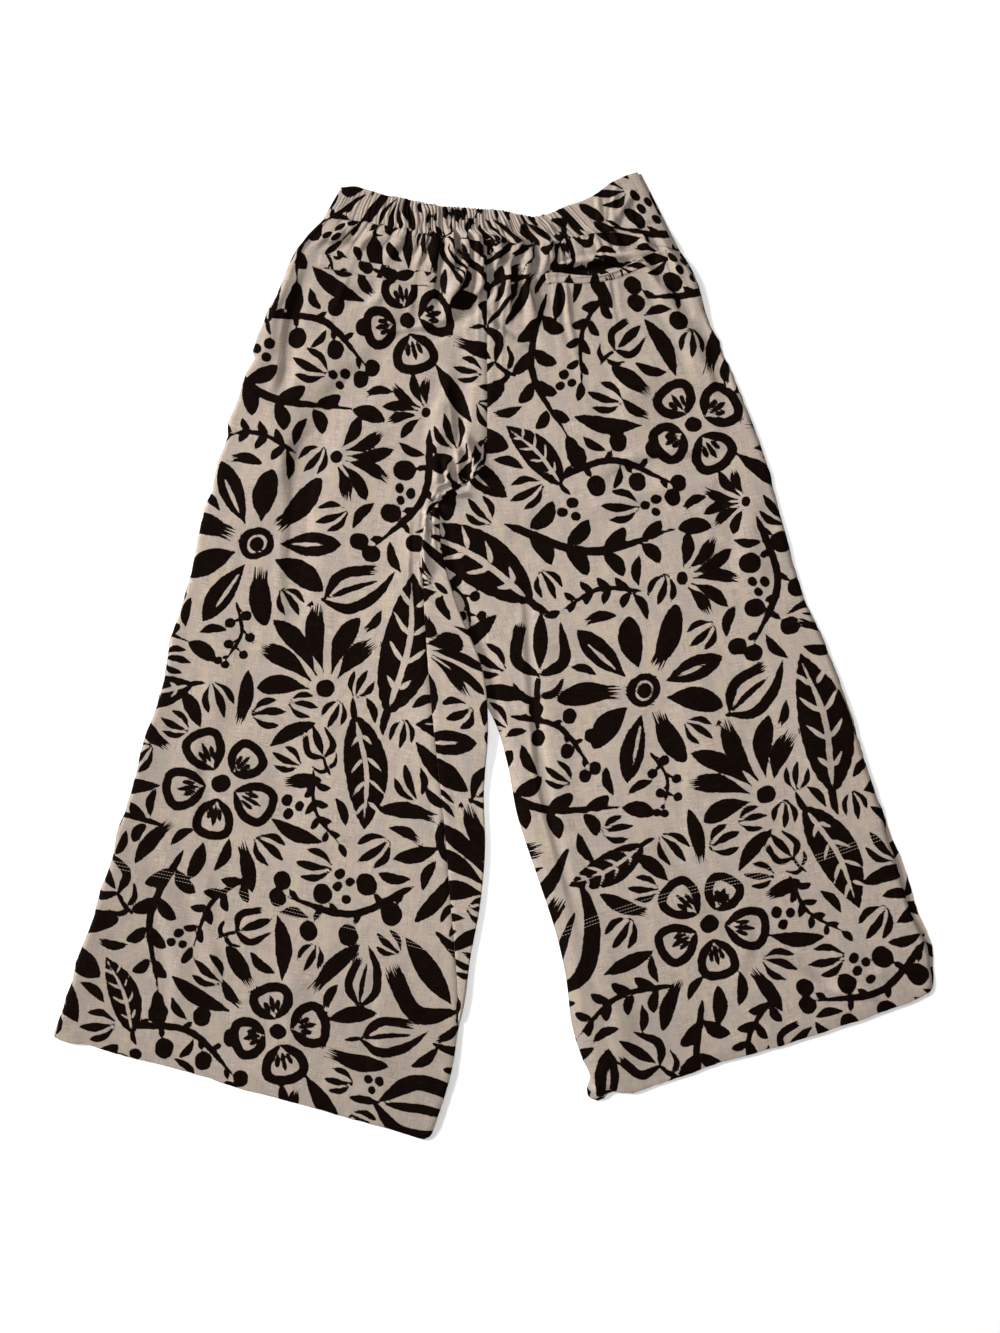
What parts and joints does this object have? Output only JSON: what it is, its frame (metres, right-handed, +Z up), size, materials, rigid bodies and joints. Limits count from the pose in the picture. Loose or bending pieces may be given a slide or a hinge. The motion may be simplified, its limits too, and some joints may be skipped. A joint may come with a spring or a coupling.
{
  "type": "culottes",
  "caption": "Wide-leg linen culottes with an elasticated waist, back welt pockets and deep hems, laid flat with the back upward.",
  "frame": {"origin": "middle of the garment's plan, on the surface it lies on", "axes": "+X towards the wearer's right leg, +Y towards the waist, +Z up, out of the back of the garment"},
  "size_m": [0.8761, 0.9644, 0.0074],
  "materials": {
    "body_linen": "matte woven linen, oatmeal with a black print",
    "band_linen": "matte woven linen gathered over elastic",
    "welt_linen": "matte woven linen, pressed welt"
  },
  "bodies": {
    "root": {"front_left": "body_linen", "front_right": "body_linen", "back_left": "body_linen", "back_right": "body_linen", "waistband_front": "band_linen", "waistband_back": "band_linen", "welt_left": "welt_linen", "welt_right": "welt_linen"}
  },
  "joints": []
}
